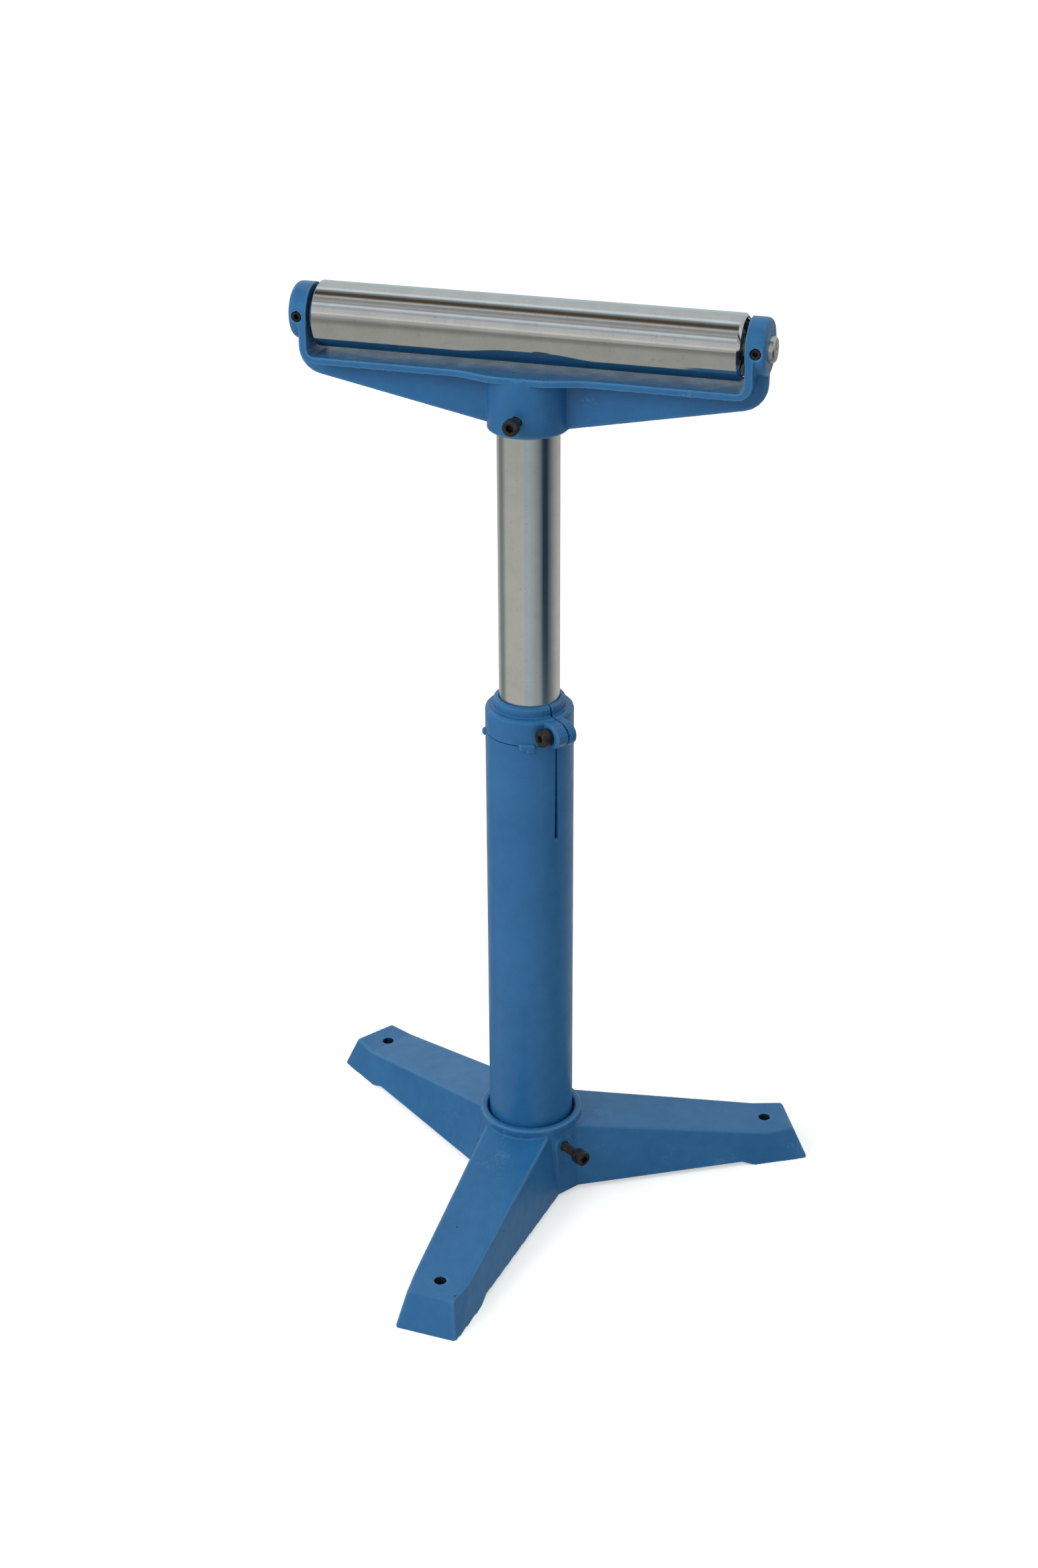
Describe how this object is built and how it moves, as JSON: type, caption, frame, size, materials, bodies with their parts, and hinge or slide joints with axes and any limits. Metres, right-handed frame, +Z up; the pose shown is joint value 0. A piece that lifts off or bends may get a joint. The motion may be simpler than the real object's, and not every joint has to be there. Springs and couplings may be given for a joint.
{
  "type": "roller stand",
  "caption": "Free-standing roller stand: cast tripod foot, telescopic clamped column and a turning yoke with a ball-borne steel roller.",
  "frame": {"origin": "middle of the footprint's bounding box, on the floor under the foot pads", "axes": "+Z up along the column, -Y along the front leg, +X to the right; the column's axis is 51 mm to +Y of the origin"},
  "size_m": [0.4572, 0.3966, 0.7997],
  "materials": {
    "blue_paint": "semi-gloss enamel on cast iron and tube",
    "bright_tube": "bright drawn steel, fine lengthwise lines",
    "ground_steel": "ground and polished steel",
    "bearing_steel": "ground bearing steel",
    "zinc": "dull zinc-plated steel",
    "black_oxide": "black oxide steel",
    "black_seal": "matt black rubber"
  },
  "bodies": {
    "foot_and_column": {"base_casting": "blue_paint", "outer_tube": "blue_paint", "clamp_collar": "blue_paint"},
    "base_screw": {"base_clamp_screw": "black_oxide"},
    "collar_screw": {"collar_clamp_screw": "black_oxide"},
    "mast": {"inner_tube": "bright_tube", "tube_guide_ring": "bright_tube"},
    "head": {"head_casting": "blue_paint", "axle": "zinc", "axle_set_screw_left": "black_oxide", "axle_set_screw_right": "black_oxide", "bearing_inner_race_left": "bearing_steel", "bearing_inner_race_right": "bearing_steel", "snap_ring_left": "black_oxide", "snap_ring_right": "black_oxide"},
    "head_screw": {"head_clamp_screw": "black_oxide"},
    "roller": {"roller_shell": "ground_steel", "bearing_outer_race_left": "bearing_steel", "bearing_outer_race_right": "bearing_steel", "bearing_shield_left": "black_seal", "bearing_shield_right": "black_seal"},
    "left_balls": {"bearing_balls_left": "bearing_steel"},
    "right_balls": {"bearing_balls_right": "bearing_steel"}
  },
  "joints": [
    {"name": "mast_height", "type": "slide", "parent": "foot_and_column", "child": "mast", "axis": [0, 0, 1], "range_m": [-0.2272, 0.1478]},
    {"name": "head_swivel", "type": "hinge", "parent": "mast", "child": "head", "pos_m": [0, 0.05101, 0.6964], "axis": [0, 0, 1], "continuous": true},
    {"name": "roller_spin", "type": "hinge", "parent": "head", "child": "roller", "pos_m": [0, 0.05101, 0.7743], "axis": [0.9982, 0.0602, 0], "continuous": true},
    {"name": "left_balls_orbit", "type": "hinge", "parent": "head", "child": "left_balls", "pos_m": [0, 0.05101, 0.7743], "axis": [0.9982, 0.0602, 0], "continuous": true},
    {"name": "right_balls_orbit", "type": "hinge", "parent": "head", "child": "right_balls", "pos_m": [0, 0.05101, 0.7743], "axis": [0.9982, 0.0602, 0], "continuous": true},
    {"name": "base_screw_turn", "type": "hinge", "parent": "foot_and_column", "child": "base_screw", "pos_m": [0.05629, 0.01851, 0.048], "axis": [0.866, -0.5, 0], "range_deg": [0, 270]},
    {"name": "collar_screw_turn", "type": "hinge", "parent": "foot_and_column", "child": "collar_screw", "pos_m": [0.02823, 0.01921, 0.4491], "axis": [-0.5446, -0.8387, 0], "range_deg": [0, 270]},
    {"name": "head_screw_turn", "type": "hinge", "parent": "head", "child": "head_screw", "pos_m": [0.00246, 0.01019, 0.7105], "axis": [0.0602, -0.9982, 0], "range_deg": [0, 270]}
  ],
  "couplings": [
    {"joint": "left_balls_orbit", "follows": "roller_spin", "ratio": 0.6024},
    {"joint": "right_balls_orbit", "follows": "roller_spin", "ratio": 0.6024}
  ]
}
